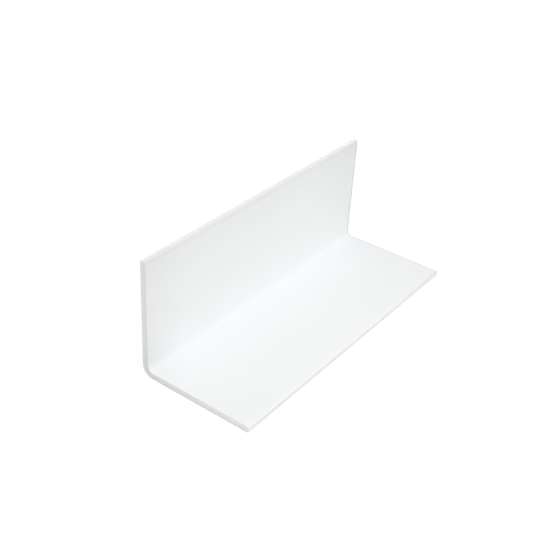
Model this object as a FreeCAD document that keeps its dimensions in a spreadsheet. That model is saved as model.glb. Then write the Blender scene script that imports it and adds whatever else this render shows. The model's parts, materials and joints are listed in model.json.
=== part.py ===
"""Corner guard moulding: a short cut piece of an extruded white vinyl angle with two equal legs.

One leg lies on the floor and the other stands up from it.  +X runs from the heel along the lying
leg, +Y along the extrusion and +Z up.  The origin is the centre of the footprint, on the floor.
"""
import FreeCAD, Part
import math
import os
import Sketcher
from FreeCAD import Vector

# Driving sizes in millimetres: name, value, what it measures.
SIZES = (
    ("leg", 28.6, "outside width of each leg, heel to tip"),
    ("wall", 1.5, "thickness of the legs and of the bend"),
    ("length", 76.2, "cut length along the extrusion"),
    ("inner_round", 1.2, "radius inside the bend"),
    ("tip_round", 0.35, "radius of the two corners of each leg's tip"),
    ("end_break", 0.05, "chamfer round each sawn end"),
)

# Ends of a sketch edge, and the sketch's own root point and horizontal axis.
START = 1
END = 2
AXES = -1

QUARTER = math.pi / 2


def make_sheet(doc):
    """The spreadsheet that holds every driving size under its name."""
    sheet = doc.addObject("Spreadsheet::Sheet", "Sizes")
    for row, (name, value, meaning) in enumerate(SIZES, start=1):
        sheet.set(f"A{row}", name)
        sheet.set(f"B{row}", str(value))
        sheet.setAlias(f"B{row}", name)
        sheet.set(f"C{row}", meaning)
    doc.recompute()
    return sheet


def arc(x, z, radius, first, last):
    """An arc about (x, z) that runs anticlockwise between two angles."""
    circle = Part.Circle(Vector(x, z, 0), Vector(0, 0, 1), radius)
    return Part.ArcOfCircle(circle, first, last)


def line(x_start, z_start, x_end, z_end):
    return Part.LineSegment(Vector(x_start, z_start, 0), Vector(x_end, z_end, 0))


def add_outline(sketch, sheet):
    """Draws the section once round, close to its solved shape, and returns its edges by name."""
    leg = sheet.leg
    heel = -leg / 2
    tip = leg / 2
    wall = sheet.wall
    inner = sheet.inner_round
    outer = inner + wall
    corner = sheet.tip_round

    edges = {
        "standing_outer": line(heel, leg - corner, heel, outer),
        "heel_bend": arc(heel + outer, outer, outer, 2 * QUARTER, 3 * QUARTER),
        "lying_outer": line(heel + outer, 0, tip - corner, 0),
        "lying_outer_corner": arc(tip - corner, corner, corner, -QUARTER, 0),
        "lying_tip": line(tip, corner, tip, wall - corner),
        "lying_inner_corner": arc(tip - corner, wall - corner, corner, 0, QUARTER),
        "lying_inner": line(tip - corner, wall, heel + outer, wall),
        "inner_bend": arc(heel + outer, outer, inner, 2 * QUARTER, 3 * QUARTER),
        "standing_inner": line(heel + wall, outer, heel + wall, leg - corner),
        "standing_inner_corner": arc(heel + wall - corner, leg - corner, corner, 0, QUARTER),
        "standing_tip": line(heel + wall - corner, leg, heel + corner, leg),
        "standing_outer_corner": arc(heel + corner, leg - corner, corner, QUARTER, 2 * QUARTER),
    }
    return {name: sketch.addGeometry(edge) for name, edge in edges.items()}


def join_smoothly(sketch, edge):
    """Every edge runs into the next without a corner, all the way round."""
    joints = (
        ("standing_outer", END, "heel_bend", START),
        ("heel_bend", END, "lying_outer", START),
        ("lying_outer", END, "lying_outer_corner", START),
        ("lying_outer_corner", END, "lying_tip", START),
        ("lying_tip", END, "lying_inner_corner", START),
        ("lying_inner_corner", END, "lying_inner", START),
        ("lying_inner", END, "inner_bend", END),
        ("inner_bend", START, "standing_inner", START),
        ("standing_inner", END, "standing_inner_corner", START),
        ("standing_inner_corner", END, "standing_tip", START),
        ("standing_tip", END, "standing_outer_corner", START),
        ("standing_outer_corner", END, "standing_outer", START),
    )
    for first, first_end, second, second_end in joints:
        sketch.addConstraint(
            Sketcher.Constraint("Tangent", edge[first], first_end, edge[second], second_end)
        )


def size_outline(sketch, edge):
    """Sets the legs square and ties every distance and radius of the section to the sheet."""
    for name in ("lying_outer", "lying_inner", "standing_tip"):
        sketch.addConstraint(Sketcher.Constraint("Horizontal", edge[name]))
    for name in ("standing_outer", "standing_inner", "lying_tip"):
        sketch.addConstraint(Sketcher.Constraint("Vertical", edge[name]))
    sketch.addConstraint(
        Sketcher.Constraint("PointOnObject", edge["lying_outer"], START, AXES)
    )
    for name in ("lying_inner_corner", "standing_inner_corner", "standing_outer_corner"):
        sketch.addConstraint(
            Sketcher.Constraint("Equal", edge["lying_outer_corner"], edge[name])
        )

    heel_side = (edge["standing_outer"], START)
    root = (AXES, START)
    lying_end = (edge["lying_tip"], START)
    standing_end = (edge["standing_tip"], START)
    dimensions = (
        ("heel_to_middle", "DistanceX", heel_side + root, "Sizes.leg / 2"),
        ("lying_wall", "DistanceY", root + (edge["lying_inner"], START), "Sizes.wall"),
        ("standing_wall", "DistanceX", heel_side + (edge["standing_inner"], START), "Sizes.wall"),
        ("bend_outside", "Radius", (edge["heel_bend"],), "Sizes.inner_round + Sizes.wall"),
        ("bend_inside", "Radius", (edge["inner_bend"],), "Sizes.inner_round"),
        ("tip_corner", "Radius", (edge["lying_outer_corner"],), "Sizes.tip_round"),
        ("lying_reach", "DistanceX", root + lying_end, "Sizes.leg / 2"),
        ("standing_reach", "DistanceY", root + standing_end, "Sizes.leg"),
    )
    for name, kind, places, expression in dimensions:
        start_value = sketch.evalExpression(expression)
        index = sketch.addConstraint(Sketcher.Constraint(kind, *places, float(start_value)))
        sketch.renameConstraint(index, name)
        sketch.setExpression(f"Constraints.{name}", expression)


def end_faces(shape):
    """Names of the two flat sawn ends, which look along the extrusion."""
    names = []
    for number, face in enumerate(shape.Faces, start=1):
        normal = face.normalAt(0, 0)
        if abs(normal.y) > 0.999:
            names.append(f"Face{number}")
    return names


def make_corner_guard(doc, sheet):
    """The moulding: its section, the length it is cut to and the broken edges of its ends."""
    body = doc.addObject("PartDesign::Body", "CornerGuard")
    body.Label = "corner_guard"

    upright = next(plane for plane in body.Origin.OriginFeatures if plane.Role == "XZ_Plane")
    sketch = body.newObject("Sketcher::SketchObject", "Section")
    sketch.AttachmentSupport = [(upright, "")]
    sketch.MapMode = "FlatFace"
    edge = add_outline(sketch, sheet)
    join_smoothly(sketch, edge)
    size_outline(sketch, edge)
    doc.recompute()

    stock = body.newObject("PartDesign::Pad", "Extrusion")
    stock.Profile = sketch
    stock.SideType = "Symmetric"
    stock.setExpression("Length", "Sizes.length")
    doc.recompute()

    ends = body.newObject("PartDesign::Chamfer", "BrokenEnds")
    ends.Base = (stock, end_faces(stock.Shape))
    ends.setExpression("Size", "Sizes.end_break")
    doc.recompute()
    return body


def check(doc, bodies):
    """Stops before anything is written if a feature failed or a solid is unsound."""
    for item in doc.Objects:
        if "Invalid" in item.State or "Error" in item.State:
            raise RuntimeError(f"{item.Label} failed: {item.State}")
    for body in bodies:
        if body.Shape.isNull() or not body.Shape.isValid():
            raise RuntimeError(f"{body.Label} has no sound shape")


def main():
    doc = FreeCAD.newDocument("corner_guard_moulding")
    sheet = make_sheet(doc)
    bodies = [make_corner_guard(doc, sheet)]
    check(doc, bodies)
    os.makedirs("parts", exist_ok=True)
    for body in bodies:
        body.Shape.exportStep(f"parts/{body.Label}.step")
        box = body.Shape.BoundBox
        print(
            f"{body.Label}: {box.XLength:.3f} x {box.YLength:.3f} x {box.ZLength:.3f} mm,"
            f" {body.Shape.Volume:.1f} mm3"
        )


main()
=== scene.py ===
import json
import math

import bpy
from mathutils import Matrix, Vector, noise


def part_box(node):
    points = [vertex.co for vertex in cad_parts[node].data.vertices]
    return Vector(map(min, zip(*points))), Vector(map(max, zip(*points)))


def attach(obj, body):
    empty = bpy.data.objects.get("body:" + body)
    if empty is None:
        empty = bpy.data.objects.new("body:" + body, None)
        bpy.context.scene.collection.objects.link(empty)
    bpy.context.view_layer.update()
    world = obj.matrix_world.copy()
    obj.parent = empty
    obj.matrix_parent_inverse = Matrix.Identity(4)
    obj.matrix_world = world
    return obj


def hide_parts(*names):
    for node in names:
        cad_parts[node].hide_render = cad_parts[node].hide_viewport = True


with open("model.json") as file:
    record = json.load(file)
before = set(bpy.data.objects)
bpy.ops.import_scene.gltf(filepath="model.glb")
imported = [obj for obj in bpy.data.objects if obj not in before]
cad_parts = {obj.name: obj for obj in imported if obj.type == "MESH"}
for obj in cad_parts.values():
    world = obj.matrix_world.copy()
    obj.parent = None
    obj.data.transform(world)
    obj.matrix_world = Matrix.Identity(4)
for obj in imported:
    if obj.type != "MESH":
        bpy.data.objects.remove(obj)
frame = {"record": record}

MM = 0.001
QUARTER = math.pi / 2
WHITE = (1.0, 1.0, 1.0, 1.0)

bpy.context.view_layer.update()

# Sizes of the piece. The legs, the length and the wall come from the frame.
# The rest repeat the part's own roundings and the break of its sawn ends.
node_low, node_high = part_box("corner_guard")
LEG = node_high.z - node_low.z
LENGTH = node_high.y - node_low.y
HEEL_X = node_low.x
mounts = {mount["name"]: mount for mount in frame["record"]["mounts"]}
WALL = mounts["lying_leg_inside"]["pos_m"][2]
INNER_ROUND = 1.2 * MM
TIP_ROUND = 0.35 * MM
END_BREAK = 0.05 * MM

# How finely the mesh is divided.
STRAIGHT_STEPS = 150
BEND_STEPS = 18
CORNER_STEPS = 8
ROUND_STEPS = 3
ROWS = 24
END_ROW = 0.1 * MM
CAP_STEPS = 8

# Bake map: a margin at its sides and foot, the share of its height for the long faces,
# and a strip for each sawn end.
BAKE_EDGE = 0.01
BAKE_LONG_HEIGHT = 0.70
BAKE_CAPS = (0.75, 0.85)
BAKE_CAP_HEIGHT = 0.06

# Relief of the sawn ends: feed marks left by a round blade, which wander a little.
SAW_CENTRE = Vector((-0.070, -0.095))
SAW_PITCH = 0.55 * MM
SAW_DEPTH = 0.012 * MM
SAW_WANDER = 2
SAW_WANDER_SIZE = 3 * MM

# Sockets of a Mix node that mixes colours.
MIX_SHARE = 0
MIX_FIRST = 6
MIX_SECOND = 7
MIX_RESULT = 2

# Detail of the noise: fine for die lines and tooth marks, soft for clouding.
FINE_DETAIL = 3.0
SOFT_DETAIL = 2.0

# Vinyl: how it bends light, and how far light spreads inside it.
VINYL_IOR = 1.53
SCATTER_LENGTH = 0.6 * MM

# Long faces: their white, the cooler white beside the heel, faint clouding and the sheen.
VINYL_WHITE = (0.890, 0.896, 0.898, 1)
HEEL_WHITE = (0.876, 0.896, 0.899, 1)
HEEL_TINT_MIDDLE = 7 * MM
HEEL_TINT_REACH = 18 * MM
VINYL_CLOUDS = (60, 45, 60)
VINYL_CLOUD_LEFT = 0.98
VINYL_ROUGHNESS = (0.52, 0.64)

# Lines that the die leaves along the length.
DIE_LINES = (2200, 9, 2200)
DIE_LINE_DEPTH = 0.002 * MM

# Painted light: each tip is painted paler towards its outer edge, in place of light there: its colour,
# and how far it reaches across the tip.
TIP_PAINTED_LIGHT = (0.975, 0.972, 0.970, 1)
TIP_PAINTED_LIGHT_DEPTH = 1.2 * MM

# Sawn ends: their white, the warmer white at the lying tip, whose lift is painted light, and where that
# sets in, clouding, the sheen and tooth marks.
SAWN_WHITE = (0.893, 0.877, 0.876, 1)
SAWN_TIP_LIT_WHITE = (0.980, 0.931, 0.928, 1)
SAWN_WARM_START = 11 * MM
SAWN_CLOUDS = (700, 700, 700)
SAWN_CLOUD_LEFT = 0.965
SAWN_ROUGHNESS = (0.55, 0.75)
TOOTH_MARKS = (5000, 200, 5000)
TOOTH_DEPTH = 0.02 * MM

# Painted shade: darker colour over the tips' lit corners, inside the heel and along the rims and ends,
# standing in for shade; how far it reaches, and the share of the clean colour that it leaves.
TIP_SHADE_REACH = 0.5 * MM
LYING_TIP_LEFT = 0.94
LYING_BACK_REACH = 30 * MM
LYING_BACK_LEFT = 0.86
STANDING_TIP_LEFT = 0.89
TOP_SHADE_REACH = 1.3 * MM
TOP_SHADE_LEFT = 0.935
UPPER_EDGE_REACH = 8 * MM
UPPER_EDGE_LEFT = 0.972
FRONT_RIM_REACH = 0.4 * MM
FRONT_RIM_LEFT = 0.90
BACK_RIM_REACH = 0.9 * MM
BACK_RIM_LEFT = 0.90
BACK_RIM_STANDING_LEFT = 0.86
FRONT_EDGE_REACH = 12 * MM
FRONT_EDGE_LEFT = 0.965
FRONT_HEEL_REACH = 11 * MM
FRONT_HEEL_LEFT = 0.95
BACK_CORNER_REACH = 22 * MM
BACK_CORNER_LEFT = 0.945
# Painted shade on the sawn ends: darker towards the heel and along the inner rim.
SAWN_HEEL_SHADE_REACH = 14 * MM
SAWN_HEEL_SHADE_LEFT = 0.93
SAWN_RIM_SHADE_REACH = 0.8 * MM
SAWN_RIM_SHADE_LEFT = 0.92

# Camera, fitted to the edges in the photograph.
CAMERA_AZIMUTH = math.radians(34.87)
CAMERA_ELEVATION = math.radians(33.30)
CAMERA_ROLL = math.radians(3.73)
CAMERA_DISTANCE = 224.4 * MM
CAMERA_AIM = Vector((-7.38, 0.445, 7.91)) * MM
CAMERA_LENS = 62.165
SENSOR_WIDTH = 36.0
CLIP_NEAR = 0.01
CLIP_FAR = 20.0

# Light: the sky's level towards the right, the front and overhead.
SKY_RIGHT = 0.78
SKY_FRONT = 0.70
SKY_OVERHEAD = 0.73

# One softbox above on the right.
LIGHT_AIM = Vector((0, 0, 0.008))
SOFTBOX_PLACE = Vector((0.12, 0, 0.26))
SOFTBOX_SIZE = 0.20
SOFTBOX_POWER = 0.175

# Floor: what it scatters onto the piece, what it shows of the light on it, and its lift to white.
FLOOR_ALBEDO = 0.70
FLOOR_SHADOW = 0.22
FLOOR_GLOW = 0.84
FLOOR_HALF = 1.5


def fractions(count):
    """Even steps from just past 0 up to 1."""
    return [(step + 1) / count for step in range(count)]


def on_arc(centre, radius, angle):
    """A point on an arc and the direction that it faces away from the centre."""
    facing = Vector((math.cos(angle), math.sin(angle)))
    return centre + facing * radius, facing


def leg_stations():
    """Pairs of outer and inner points of one leg, from the bend to the tip.

    Points are (along the leg, across the wall) from the heel, each with the way its surface faces.
    """
    bend = WALL + INNER_ROUND
    straight_end = LEG - TIP_ROUND
    outward = Vector((0, -1))
    inward = Vector((0, 1))
    stations = []
    for share in fractions(STRAIGHT_STEPS):
        along = bend + (straight_end - bend) * share
        stations.append(((Vector((along, 0)), outward), (Vector((along, WALL)), inward)))

    # The tip is square, with its two corners rounded.
    outer_centre = Vector((straight_end, TIP_ROUND))
    inner_centre = Vector((straight_end, WALL - TIP_ROUND))
    for share in fractions(CORNER_STEPS):
        outer = on_arc(outer_centre, TIP_ROUND, -QUARTER * (1 - share))
        inner = on_arc(inner_centre, TIP_ROUND, QUARTER * (1 - share))
        stations.append((outer, inner))
    return stations


def section_stations():
    """All pairs of outer and inner points, from the standing tip round the heel to the lying tip."""
    lying = leg_stations()
    standing = [tuple((place.yx, facing.yx) for place, facing in pair) for pair in reversed(lying)]
    bend_centre = Vector((1, 1)) * (WALL + INNER_ROUND)
    bend = []
    for step in range(BEND_STEPS + 1):
        angle = 2 * QUARTER + QUARTER * step / BEND_STEPS
        outer = on_arc(bend_centre, WALL + INNER_ROUND, angle)
        inner_place, away = on_arc(bend_centre, INNER_ROUND, angle)
        bend.append((outer, (inner_place, -away)))
    return standing + bend + lying


def saw_relief(x, z):
    """How far a point of a sawn end lies behind the flat of the cut."""
    radius = (Vector((x, z)) - SAW_CENTRE).length
    wander = noise.noise(Vector((x, z, 0)) / SAW_WANDER_SIZE)
    wave = math.sin(2 * math.pi * radius / SAW_PITCH + SAW_WANDER * wander)
    return SAW_DEPTH * (0.5 + 0.5 * wave)


def rows_along():
    """Rings of the mesh along the length: place in Y, and how far a broken end draws the section in."""
    flat = LENGTH / 2 - END_BREAK
    even = flat - END_ROW
    rings = [(even * (2 * row / ROWS - 1), 0.0) for row in range(ROWS + 1)]
    for step in range(ROUND_STEPS + 1):
        angle = QUARTER * step / ROUND_STEPS
        y = flat + END_BREAK * math.sin(angle)
        drawn_in = END_BREAK * (1 - math.cos(angle))
        rings.insert(0, (-y, drawn_in))
        rings.append((y, drawn_in))
    return rings


def tip_flat(first, final):
    """Points between the two corners of a tip, which all face the way the corners do."""
    facing = first[1]
    return [(first[0].lerp(final[0], step / CAP_STEPS), facing) for step in range(1, CAP_STEPS)]


def distances(places):
    """How far along a run of points each of them lies."""
    gone = [0.0]
    for here, there in zip(places, places[1:]):
        gone.append(gone[-1] + (there - here).length)
    return gone


def across_bake(places):
    """Where a run of points lies across the bake map, between its margins."""
    gone = distances(places)
    return [BAKE_EDGE + (1 - 2 * BAKE_EDGE) * there / gone[-1] for there in gone]


def long_faces(loop, rings):
    """Points and quads of the moulding's long faces, with each quad's corners on the bake map."""
    around = len(loop)
    points = []
    for y, drawn_in in rings:
        for place, facing in loop:
            spot = place - facing * drawn_in
            points.append(Vector((HEEL_X + spot.x, y, spot.y)))

    across = across_bake([place for place, facing in loop + loop[:1]])
    up = [BAKE_EDGE + (y / LENGTH + 0.5) * BAKE_LONG_HEIGHT for y, drawn_in in rings]
    quads = []
    for ring in range(len(rings) - 1):
        for side in range(around):
            after = (side + 1) % around
            here = ring * around
            there = here + around
            corners = (here + side, there + side, there + after, here + after)
            left, right = across[side], across[side + 1]
            low, high = up[ring], up[ring + 1]
            quads.append((corners, ((left, low), (left, high), (right, high), (right, low))))
    return points, quads


def sawn_end(points, stations, base, sign, bake_low):
    """Quads of one sawn end, whose inner points are added; base is the first point of its ring."""
    last = len(stations) - 1
    inner_start = base + 2 * last + CAP_STEPS
    across = across_bake([(outer[0] + inner[0]) / 2 for outer, inner in stations])
    up = [bake_low + BAKE_CAP_HEIGHT * step / CAP_STEPS for step in range(CAP_STEPS + 1)]

    # The first and the last line across the wall lie on the ring itself, along the tips' flats.
    grid = [[base, *range(inner_start + CAP_STEPS - 1, inner_start - 1, -1)]]
    for station in range(1, last):
        first = base + station
        final = inner_start - station
        line = [first]
        for step in range(1, CAP_STEPS):
            spot = points[first].lerp(points[final], step / CAP_STEPS)
            spot.y -= sign * saw_relief(spot.x, spot.z)
            line.append(len(points))
            points.append(spot)
        line.append(final)
        grid.append(line)
    grid.append(list(range(base + last, base + last + CAP_STEPS + 1)))

    quads = []
    for station in range(last):
        here, there = grid[station], grid[station + 1]
        left, right = across[station], across[station + 1]
        for step in range(CAP_STEPS):
            corners = (here[step], there[step], there[step + 1], here[step + 1])
            low, high = up[step], up[step + 1]
            spots = ((left, low), (right, low), (right, high), (left, high))
            if sign > 0:
                corners, spots = corners[::-1], spots[::-1]
            quads.append((corners, spots))
    return quads


def build_moulding():
    """The whole moulding as one closed mesh: its long faces, its broken edges and its sawn ends."""
    stations = section_stations()
    outer = [pair[0] for pair in stations]
    inner = [pair[1] for pair in stations]
    lying_flat = tip_flat(outer[-1], inner[-1])
    standing_flat = tip_flat(inner[0], outer[0])
    loop = outer + lying_flat + inner[::-1] + standing_flat
    rings = rows_along()
    points, quads = long_faces(loop, rings)
    long_count = len(quads)
    last_ring = (len(rings) - 1) * len(loop)
    quads += sawn_end(points, stations, 0, -1, BAKE_CAPS[0])
    quads += sawn_end(points, stations, last_ring, 1, BAKE_CAPS[1])

    mesh = bpy.data.meshes.new("vinyl_moulding")
    mesh.from_pydata(points, [], [corners for corners, spots in quads])
    bake_map = mesh.uv_layers.new(name="OFBake")
    bake_values = [value for corners, spots in quads for spot in spots for value in spot]
    bake_map.data.foreach_set("uv", bake_values)
    for polygon in mesh.polygons:
        polygon.use_smooth = True
        polygon.material_index = 1 if polygon.index >= long_count else 0
    piece = bpy.data.objects.new("vinyl_moulding", mesh)
    bpy.context.scene.collection.objects.link(piece)
    return piece


def node(tree, kind, **settings):
    """A new node with its settings."""
    made = tree.nodes.new(kind)
    for name, value in settings.items():
        setattr(made, name, value)
    return made


def new_material(name):
    """A node material, its tree and its Principled shader."""
    material = bpy.data.materials.new(name)
    material.use_nodes = True
    tree = material.node_tree
    return material, tree, tree.nodes["Principled BSDF"]


def stretched_noise(tree, scale, detail):
    """Noise in the part's frame, stretched by the three scales."""
    place = node(tree, "ShaderNodeTexCoord")
    stretch = node(tree, "ShaderNodeMapping")
    stretch.inputs["Scale"].default_value = scale
    grain = node(tree, "ShaderNodeTexNoise")
    grain.inputs["Scale"].default_value = 1.0
    grain.inputs["Detail"].default_value = detail
    tree.links.new(place.outputs["Object"], stretch.inputs["Vector"])
    tree.links.new(stretch.outputs["Vector"], grain.inputs["Vector"])
    return grain.outputs["Fac"]


def ramp_between(tree, source, low, high):
    """A value that runs from low to high as the source runs from 0 to 1."""
    spread = node(tree, "ShaderNodeMapRange")
    spread.inputs["To Min"].default_value = low
    spread.inputs["To Max"].default_value = high
    tree.links.new(source, spread.inputs["Value"])
    return spread.outputs["Result"]


def colour_between(tree, source, first, second):
    """A colour that runs from the first to the second as the source runs from 0 to 1."""
    blend = node(tree, "ShaderNodeMix", data_type="RGBA")
    blend.inputs[MIX_FIRST].default_value = first
    blend.inputs[MIX_SECOND].default_value = second
    tree.links.new(source, blend.inputs[MIX_SHARE])
    return blend.outputs[MIX_RESULT]


def turned_into(tree, source, colour, other):
    """The colour, turned into the other one as the source runs from 0 to 1."""
    blend = node(tree, "ShaderNodeMix", data_type="RGBA")
    blend.inputs[MIX_SECOND].default_value = other
    tree.links.new(source, blend.inputs[MIX_SHARE])
    tree.links.new(colour, blend.inputs[MIX_FIRST])
    return blend.outputs[MIX_RESULT]


def darkened(tree, source, colour, share):
    """The colour, whole where the source is 0 and scaled down to the share where it is 1."""
    keep = ramp_between(tree, source, 1.0, share)
    scale = node(tree, "ShaderNodeVectorMath", operation="SCALE")
    tree.links.new(colour, scale.inputs[0])
    tree.links.new(keep, scale.inputs["Scale"])
    return scale.outputs["Vector"]


def combined(tree, operation, first, second):
    """Two values put together by one operation of a Math node."""
    joint = node(tree, "ShaderNodeMath", operation=operation)
    tree.links.new(first, joint.inputs[0])
    tree.links.new(second, joint.inputs[1])
    return joint.outputs[0]


def both(tree, first, second):
    """The smaller of two values, which is 1 only where both are."""
    return combined(tree, "MINIMUM", first, second)


def closeness(tree, source, far, near):
    """A smooth step from 0 where the source is at far to 1 where it is at near."""
    step = node(tree, "ShaderNodeMapRange", interpolation_type="SMOOTHSTEP")
    step.inputs["From Min"].default_value = far
    step.inputs["From Max"].default_value = near
    tree.links.new(source, step.inputs["Value"])
    return step.outputs["Result"]


def place_along(tree, axis):
    """A surface point's X, Y or Z in the part's frame."""
    place = node(tree, "ShaderNodeTexCoord")
    parts = node(tree, "ShaderNodeSeparateXYZ")
    tree.links.new(place.outputs["Object"], parts.inputs[0])
    return parts.outputs[axis]


def near_spot(tree, spot, reach, axes=(1, 1, 1)):
    """1 at a spot and 0 from the given reach on, measured along the axes that are 1."""
    place = node(tree, "ShaderNodeTexCoord")
    offset = node(tree, "ShaderNodeVectorMath", operation="SUBTRACT")
    offset.inputs[1].default_value = spot
    tree.links.new(place.outputs["Object"], offset.inputs[0])
    counted = node(tree, "ShaderNodeVectorMath", operation="MULTIPLY")
    counted.inputs[1].default_value = axes
    tree.links.new(offset.outputs["Vector"], counted.inputs[0])
    distance = node(tree, "ShaderNodeVectorMath", operation="LENGTH")
    tree.links.new(counted.outputs["Vector"], distance.inputs[0])
    return closeness(tree, distance.outputs["Value"], reach, 0.0)


def near_line(tree, x, z, reach):
    """1 on a line along the length and 0 from the given reach on."""
    return near_spot(tree, (x, 0, z), reach, axes=(1, 0, 1))


def near_end(tree, sign, reach):
    """1 on the plane of one sawn end and 0 from the given reach on."""
    end = LENGTH / 2
    return closeness(tree, place_along(tree, "Y"), sign * (end - reach), sign * end)


def bump(tree, height, distance):
    """The surface's direction, tilted by a height that is as deep as the distance."""
    relief = node(tree, "ShaderNodeBump")
    relief.inputs["Distance"].default_value = distance
    tree.links.new(height, relief.inputs["Height"])
    return relief.outputs["Normal"]


def let_light_in(shader):
    """White vinyl is faintly translucent: light spreads inside it before it comes out again."""
    shader.inputs["IOR"].default_value = VINYL_IOR
    shader.inputs["Subsurface Weight"].default_value = 1.0
    shader.inputs["Subsurface Radius"].default_value = (1.0, 1.0, 1.0)
    shader.inputs["Subsurface Scale"].default_value = SCATTER_LENGTH


def tips_painted_light(tree, clean):
    """The clean colour with painted light: paler towards the outer edges of both tips."""
    along_x = place_along(tree, "X")
    along_z = place_along(tree, "Z")
    tip_x = HEEL_X + LEG
    lying_tip = closeness(tree, along_x, tip_x - WALL, tip_x - TIP_ROUND)
    lying_outer = closeness(tree, along_z, TIP_PAINTED_LIGHT_DEPTH, 0.0)
    lying = both(tree, lying_tip, lying_outer)
    standing_tip = closeness(tree, along_z, LEG - WALL, LEG - TIP_ROUND)
    standing_outer = closeness(tree, along_x, HEEL_X + TIP_PAINTED_LIGHT_DEPTH, HEEL_X)
    standing = both(tree, standing_tip, standing_outer)
    return turned_into(tree, combined(tree, "MAXIMUM", lying, standing), clean, TIP_PAINTED_LIGHT)


def shaded_tips(tree, clean):
    """The clean colour with painted shade along both tips' inner edges and over the standing tip's top,
    on the lying one most at the back.
    """
    # How far in from its two faces the middle of a rounded corner lies.
    round_middle = TIP_ROUND * (1 - math.sqrt(0.5))
    lying_x = HEEL_X + LEG - round_middle
    lying_z = WALL - round_middle
    lying_edge = near_line(tree, lying_x, lying_z, TIP_SHADE_REACH)
    lying_back = combined(tree, "MULTIPLY", lying_edge, near_end(tree, 1, LYING_BACK_REACH))
    standing_x = HEEL_X + WALL - round_middle
    standing_z = LEG - round_middle
    standing_edge = near_line(tree, standing_x, standing_z, TIP_SHADE_REACH)
    standing_top = near_line(tree, standing_x, standing_z, TOP_SHADE_REACH)

    shaded = darkened(tree, lying_edge, clean, LYING_TIP_LEFT)
    shaded = darkened(tree, lying_back, shaded, LYING_BACK_LEFT)
    shaded = darkened(tree, standing_edge, shaded, STANDING_TIP_LEFT)
    return darkened(tree, standing_top, shaded, TOP_SHADE_LEFT)


def shaded_inside(tree, clean):
    """The clean colour with painted shade inside: in the heel's front corner, below the standing leg's
    top and in its back corner.
    """
    inner_x = HEEL_X + WALL
    inside = closeness(tree, place_along(tree, "X"), inner_x - TIP_ROUND, inner_x)
    front_heel = near_spot(tree, (inner_x, -LENGTH / 2, WALL), FRONT_HEEL_REACH)
    upper_edge = near_line(tree, inner_x, LEG, UPPER_EDGE_REACH)
    back_corner = near_spot(tree, (inner_x, LENGTH / 2, LEG), BACK_CORNER_REACH)

    shaded = darkened(tree, both(tree, front_heel, inside), clean, FRONT_HEEL_LEFT)
    shaded = darkened(tree, both(tree, upper_edge, inside), shaded, UPPER_EDGE_LEFT)
    return darkened(tree, both(tree, back_corner, inside), shaded, BACK_CORNER_LEFT)


def shaded_rims(tree, clean):
    """The clean colour with painted shade along the rims of the sawn ends, and more so on the standing
    leg.
    """
    along_z = place_along(tree, "Z")
    standing = closeness(tree, along_z, WALL, 2 * WALL)
    below_top = closeness(tree, along_z, LEG, LEG - 2 * WALL)
    front_rim = near_end(tree, -1, FRONT_RIM_REACH)
    front_edge = both(tree, near_end(tree, -1, FRONT_EDGE_REACH), standing)
    back_rim = near_end(tree, 1, BACK_RIM_REACH)
    back_standing = both(tree, back_rim, both(tree, standing, below_top))

    shaded = darkened(tree, front_rim, clean, FRONT_RIM_LEFT)
    shaded = darkened(tree, front_edge, shaded, FRONT_EDGE_LEFT)
    shaded = darkened(tree, back_rim, shaded, BACK_RIM_LEFT)
    return darkened(tree, back_standing, shaded, BACK_RIM_STANDING_LEFT)


def vinyl_material():
    """Satin white vinyl, with faint die lines along the length, painted light on its tips and painted
    shade on its edges and inside.
    """
    material, tree, shader = new_material("satin_white_vinyl")
    let_light_in(shader)
    lines = stretched_noise(tree, DIE_LINES, FINE_DETAIL)
    cloud = stretched_noise(tree, VINYL_CLOUDS, SOFT_DETAIL)
    heel = near_line(tree, HEEL_X + HEEL_TINT_MIDDLE, WALL, HEEL_TINT_REACH)
    tinted = colour_between(tree, heel, VINYL_WHITE, HEEL_WHITE)
    clean = darkened(tree, cloud, tinted, VINYL_CLOUD_LEFT)
    # Painted light on the tips, then painted shade on the tips, inside and along the ends.
    shaded = shaded_tips(tree, tips_painted_light(tree, clean))
    shaded = shaded_rims(tree, shaded_inside(tree, shaded))
    tree.links.new(shaded, shader.inputs["Base Color"])
    tree.links.new(ramp_between(tree, lines, *VINYL_ROUGHNESS), shader.inputs["Roughness"])
    tree.links.new(bump(tree, lines, DIE_LINE_DEPTH), shader.inputs["Normal"])
    return material


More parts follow.
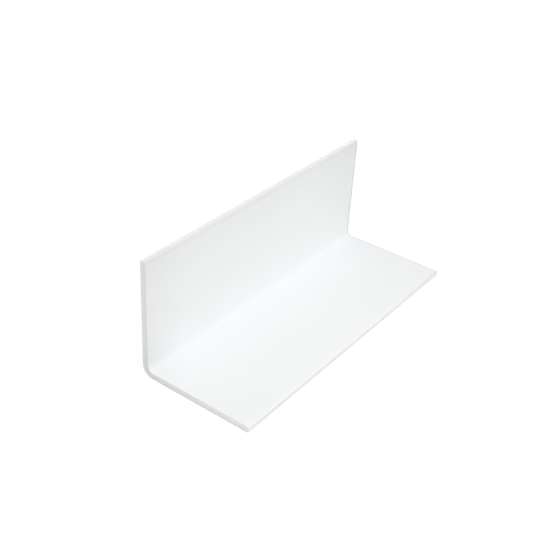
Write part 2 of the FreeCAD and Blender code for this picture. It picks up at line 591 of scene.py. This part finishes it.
def sawn_material():
    """The same vinyl where it was sawn: rougher, a little warmer, painted lighter towards the lying
    tip, with painted shade at heel and inner rim.
    """
    material, tree, shader = new_material("sawn_white_vinyl")
    let_light_in(shader)
    tooth = stretched_noise(tree, TOOTH_MARKS, FINE_DETAIL)
    cloud = stretched_noise(tree, SAWN_CLOUDS, SOFT_DETAIL)
    along_x = place_along(tree, "X")
    along_z = place_along(tree, "Z")
    towards_tip = closeness(tree, along_x, HEEL_X + SAWN_WARM_START, HEEL_X + LEG)
    heel = near_line(tree, HEEL_X, 0, SAWN_HEEL_SHADE_REACH)
    inner_x = closeness(tree, along_x, HEEL_X + WALL - SAWN_RIM_SHADE_REACH, HEEL_X + WALL)
    inner_z = closeness(tree, along_z, WALL - SAWN_RIM_SHADE_REACH, WALL)

    # The lift towards the lying tip is painted light; the darkening at heel and inner rim is painted
    # shade.
    clean = colour_between(tree, towards_tip, SAWN_WHITE, SAWN_TIP_LIT_WHITE)
    shaded_end = darkened(tree, heel, clean, SAWN_HEEL_SHADE_LEFT)
    shaded_end = darkened(tree, both(tree, inner_x, inner_z), shaded_end, SAWN_RIM_SHADE_LEFT)
    clouded = darkened(tree, cloud, shaded_end, SAWN_CLOUD_LEFT)
    tree.links.new(clouded, shader.inputs["Base Color"])
    tree.links.new(ramp_between(tree, tooth, *SAWN_ROUGHNESS), shader.inputs["Roughness"])
    tree.links.new(bump(tree, tooth, TOOTH_DEPTH), shader.inputs["Normal"])
    return material


def seen_by_eye(tree):
    """1 for a ray from the camera, a reflection or a see-through surface, 0 for scattered light."""
    path = node(tree, "ShaderNodeLightPath")
    direct = combined(tree, "MAXIMUM", path.outputs["Is Camera Ray"], path.outputs["Is Glossy Ray"])
    return combined(tree, "MAXIMUM", direct, path.outputs["Is Transmission Ray"])


def mix_shaders(tree, share, first, second):
    """The first shader where the share is 0, and the second where it is 1."""
    mix = node(tree, "ShaderNodeMixShader")
    tree.links.new(share, mix.inputs[0])
    tree.links.new(first.outputs[0], mix.inputs[1])
    tree.links.new(second.outputs[0], mix.inputs[2])
    return mix


def matt_grey(tree, level):
    """A matt shader of one grey level."""
    shader = node(tree, "ShaderNodeBsdfDiffuse")
    shader.inputs["Color"].default_value = (level, level, level, 1)
    return shader


def floor_material():
    """A pale floor that is lifted to white where it is seen and still shows the piece's shadow."""
    material = bpy.data.materials.new("white_floor")
    material.use_nodes = True
    tree = material.node_tree
    tree.nodes.clear()
    glow = node(tree, "ShaderNodeEmission")
    glow.inputs["Strength"].default_value = FLOOR_GLOW
    lifted = node(tree, "ShaderNodeAddShader")
    tree.links.new(matt_grey(tree, FLOOR_SHADOW).outputs[0], lifted.inputs[0])
    tree.links.new(glow.outputs[0], lifted.inputs[1])
    mix = mix_shaders(tree, seen_by_eye(tree), matt_grey(tree, FLOOR_ALBEDO), lifted)
    out = node(tree, "ShaderNodeOutputMaterial")
    tree.links.new(mix.outputs[0], out.inputs["Surface"])
    return material


def make_floor():
    """A square floor under the piece."""
    sides = ((-1, -1), (1, -1), (1, 1), (-1, 1))
    corners = [(x * FLOOR_HALF, y * FLOOR_HALF, 0) for x, y in sides]
    mesh = bpy.data.meshes.new("floor")
    mesh.from_pydata(corners, [], [(0, 1, 2, 3)])
    floor = bpy.data.objects.new("floor", mesh)
    floor.data.materials.append(floor_material())
    bpy.context.scene.collection.objects.link(floor)


def sky_lobe(tree, towards, level):
    """Sky that is brightest in one direction and falls evenly to nothing at right angles to it."""
    place = node(tree, "ShaderNodeTexCoord")
    lean = node(tree, "ShaderNodeVectorMath", operation="DOT_PRODUCT")
    lean.inputs[1].default_value = Vector(towards) * level
    tree.links.new(place.outputs["Generated"], lean.inputs[0])
    lit_side = node(tree, "ShaderNodeMath", operation="MAXIMUM")
    lit_side.inputs[1].default_value = 0.0
    tree.links.new(lean.outputs["Value"], lit_side.inputs[0])
    return lit_side.outputs[0]


def make_world():
    """Soft light from the right, the front and overhead, with a white backdrop where it is seen."""
    world = bpy.data.worlds.new("studio")
    world.use_nodes = True
    tree = world.node_tree
    light = tree.nodes["Background"]
    light.inputs["Color"].default_value = WHITE
    right = sky_lobe(tree, (1, 0, 0), SKY_RIGHT)
    front = sky_lobe(tree, (0, -1, 0), SKY_FRONT)
    overhead = sky_lobe(tree, (0, 0, 1), SKY_OVERHEAD)
    whole_sky = combined(tree, "ADD", combined(tree, "ADD", right, front), overhead)
    tree.links.new(whole_sky, light.inputs["Strength"])
    backdrop = node(tree, "ShaderNodeBackground")
    backdrop.inputs["Color"].default_value = WHITE
    backdrop.inputs["Strength"].default_value = 1.0
    mix = mix_shaders(tree, seen_by_eye(tree), light, backdrop)
    tree.links.new(mix.outputs[0], tree.nodes["World Output"].inputs["Surface"])
    bpy.context.scene.world = world


def make_softbox():
    """A square softbox that faces the piece."""
    lamp = bpy.data.lights.new("softbox", "AREA")
    lamp.shape = "SQUARE"
    lamp.size = SOFTBOX_SIZE
    lamp.energy = SOFTBOX_POWER
    holder = bpy.data.objects.new("softbox", lamp)
    holder.location = SOFTBOX_PLACE
    holder.rotation_euler = (LIGHT_AIM - SOFTBOX_PLACE).to_track_quat("-Z", "Y").to_euler()
    bpy.context.scene.collection.objects.link(holder)


def make_camera():
    """The photograph's view: a camera turned a little about its own axis."""
    level = math.cos(CAMERA_ELEVATION)
    back = Vector((
        math.sin(CAMERA_AZIMUTH) * level,
        -math.cos(CAMERA_AZIMUTH) * level,
        math.sin(CAMERA_ELEVATION),
    ))
    right = Vector((math.cos(CAMERA_AZIMUTH), math.sin(CAMERA_AZIMUTH), 0))
    upright = Matrix((right, back.cross(right), back)).transposed()
    lens = bpy.data.cameras.new("camera")
    lens.sensor_width = SENSOR_WIDTH
    lens.lens = CAMERA_LENS
    lens.clip_start = CLIP_NEAR
    lens.clip_end = CLIP_FAR
    camera = bpy.data.objects.new("camera", lens)
    turned = upright.to_4x4() @ Matrix.Rotation(CAMERA_ROLL, 4, "Z")
    camera.matrix_world = Matrix.Translation(CAMERA_AIM + back * CAMERA_DISTANCE) @ turned
    bpy.context.scene.collection.objects.link(camera)
    bpy.context.scene.camera = camera


moulding = build_moulding()
moulding.data.materials.append(vinyl_material())
moulding.data.materials.append(sawn_material())
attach(moulding, "root")
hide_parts("corner_guard")

make_floor()
make_world()
make_softbox()
make_camera()
bpy.context.scene.view_settings.view_transform = "Standard"
